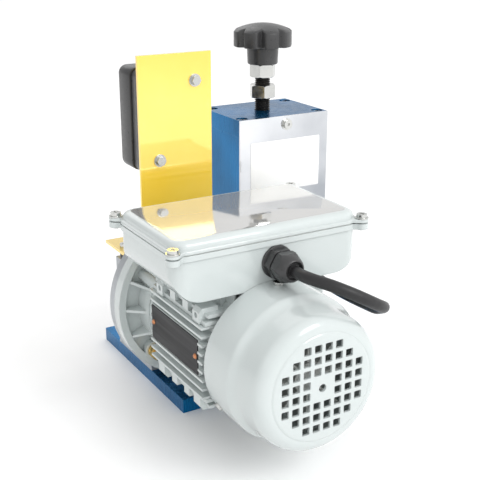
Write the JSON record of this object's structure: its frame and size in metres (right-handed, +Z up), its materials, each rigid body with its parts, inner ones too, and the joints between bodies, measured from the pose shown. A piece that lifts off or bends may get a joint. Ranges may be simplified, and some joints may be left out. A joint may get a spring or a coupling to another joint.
{
  "type": "wire stripping machine",
  "caption": "Bench wire stripping machine: flange motor and worm gearbox on a plate drive a feed roller under a screw-fed blade, with a push-button switch on a bracket.",
  "frame": {"origin": "on the underside of the base plate, below the motor axis in the plane of the motor flange", "axes": "+Z up, +Y along the motor shaft towards the operator's side, +X towards the stripping head"},
  "size_m": [0.272, 0.3642, 0.3458],
  "materials": {
    "blue_anodised": "satin blue anodised",
    "polished_stainless": "polished stainless sheet",
    "grey_paint": "gloss light grey enamel",
    "cast_grey": "fine cast aluminium",
    "yellow_paint": "gloss yellow enamel",
    "black_plastic": "moulded black plastic",
    "grey_plastic": "moulded light grey plastic",
    "lead_rubber": "black cable sheath",
    "bright_zinc": "bright zinc plated steel",
    "black_steel": "blackened steel",
    "yellow_zinc": "yellow chromated zinc",
    "steel": "machined steel",
    "bronze": "tin bronze",
    "rotor_aluminium": "cast squirrel cage",
    "copper_wire": "varnished copper wire",
    "black_plate": "black printed plate left bare",
    "white_plastic": "white plastic can",
    "brown_plastic": "phenolic moulding",
    "green_plastic": "green push button",
    "red_plastic": "red push button"
  },
  "bodies": {
    "root": {"base_plate": "blue_anodised", "head_left_plate": "blue_anodised", "head_right_plate": "blue_anodised", "head_top_block": "blue_anodised", "head_rear_cover": "polished_stainless", "head_front_cover": "polished_stainless", "motor_frame": "grey_paint", "motor_front_endshield": "grey_paint", "motor_rear_endshield": "grey_paint", "fan_cover": "grey_paint", "terminal_box": "grey_paint", "terminal_lid": "grey_paint", "gearbox_housing": "cast_grey", "gearbox_input_flange": "cast_grey", "gearbox_side_cover": "cast_grey", "switch_bracket": "yellow_paint", "switch_box_back": "black_plastic", "switch_box_front": "black_plastic", "gland_bodies": "black_plastic", "gland_nuts": "black_plastic", "bracket_spacers": "black_plastic", "start_capacitor": "black_plastic", "worm_end_cap": "black_plastic", "lid_gasket": "grey_plastic", "motor_lead": "lead_rubber", "lid_screws": "bright_zinc", "fan_cover_screws": "bright_zinc", "switch_screws": "bright_zinc", "bracket_screws": "bright_zinc", "head_cover_screws": "bright_zinc", "head_top_screws": "bright_zinc", "gearbox_cover_screws": "bright_zinc", "base_screws": "black_steel", "flange_bolts": "yellow_zinc", "shaft_bearings": "steel", "motor_bearings": "steel", "wire_guide": "steel", "stator_core": "steel", "stator_windings": "copper_wire", "nameplate_rivets": "copper_wire", "nameplate": "black_plate", "run_capacitor": "white_plastic", "switch_contacts": "white_plastic", "terminal_block": "brown_plastic"},
    "motor_rotor": {"motor_shaft": "steel", "rotor_core": "rotor_aluminium", "cooling_fan": "grey_plastic", "worm": "steel"},
    "feed_train": {"worm_wheel": "bronze", "output_shaft": "steel", "feed_roller": "steel"},
    "carriage": {"blade_carriage": "steel", "blade_axle": "steel", "screw_retainer": "steel"},
    "blade": {"blade_disc": "steel"},
    "knob_screw": {"pressure_screw": "black_steel", "screw_nuts": "bright_zinc", "star_knob": "black_plastic"},
    "start": {"start_button": "green_plastic"},
    "stop": {"stop_button": "red_plastic"}
  },
  "joints": [
    {"name": "motor_spin", "type": "hinge", "parent": "root", "child": "motor_rotor", "pos_m": [0, 0, 0.095], "axis": [0, 1, 0], "continuous": true},
    {"name": "feed_spin", "type": "hinge", "parent": "root", "child": "feed_train", "pos_m": [0, 0.0553, 0.055], "axis": [1, 0, 0], "continuous": true},
    {"name": "carriage_slide", "type": "slide", "parent": "root", "child": "carriage", "axis": [0, 0, 1], "range_m": [-0.013, 0.05]},
    {"name": "blade_spin", "type": "hinge", "parent": "carriage", "child": "blade", "pos_m": [0.1163, 0.0553, 0.127], "axis": [1, 0, 0], "continuous": true},
    {"name": "screw_turn", "type": "hinge", "parent": "carriage", "child": "knob_screw", "pos_m": [0.1163, 0.0553, 0.26], "axis": [0, 0, 1], "continuous": true},
    {"name": "start_press", "type": "slide", "parent": "root", "child": "start", "axis": [0, -1, 0], "range_m": [0, 0.003], "stiffness_N_per_m": 800},
    {"name": "stop_press", "type": "slide", "parent": "root", "child": "stop", "axis": [0, -1, 0], "range_m": [0, 0.003], "stiffness_N_per_m": 800}
  ],
  "couplings": [
    {"joint": "feed_spin", "follows": "motor_spin", "ratio": 0.037037},
    {"joint": "screw_turn", "follows": "carriage_slide", "rad_per_m": 3141.6}
  ]
}
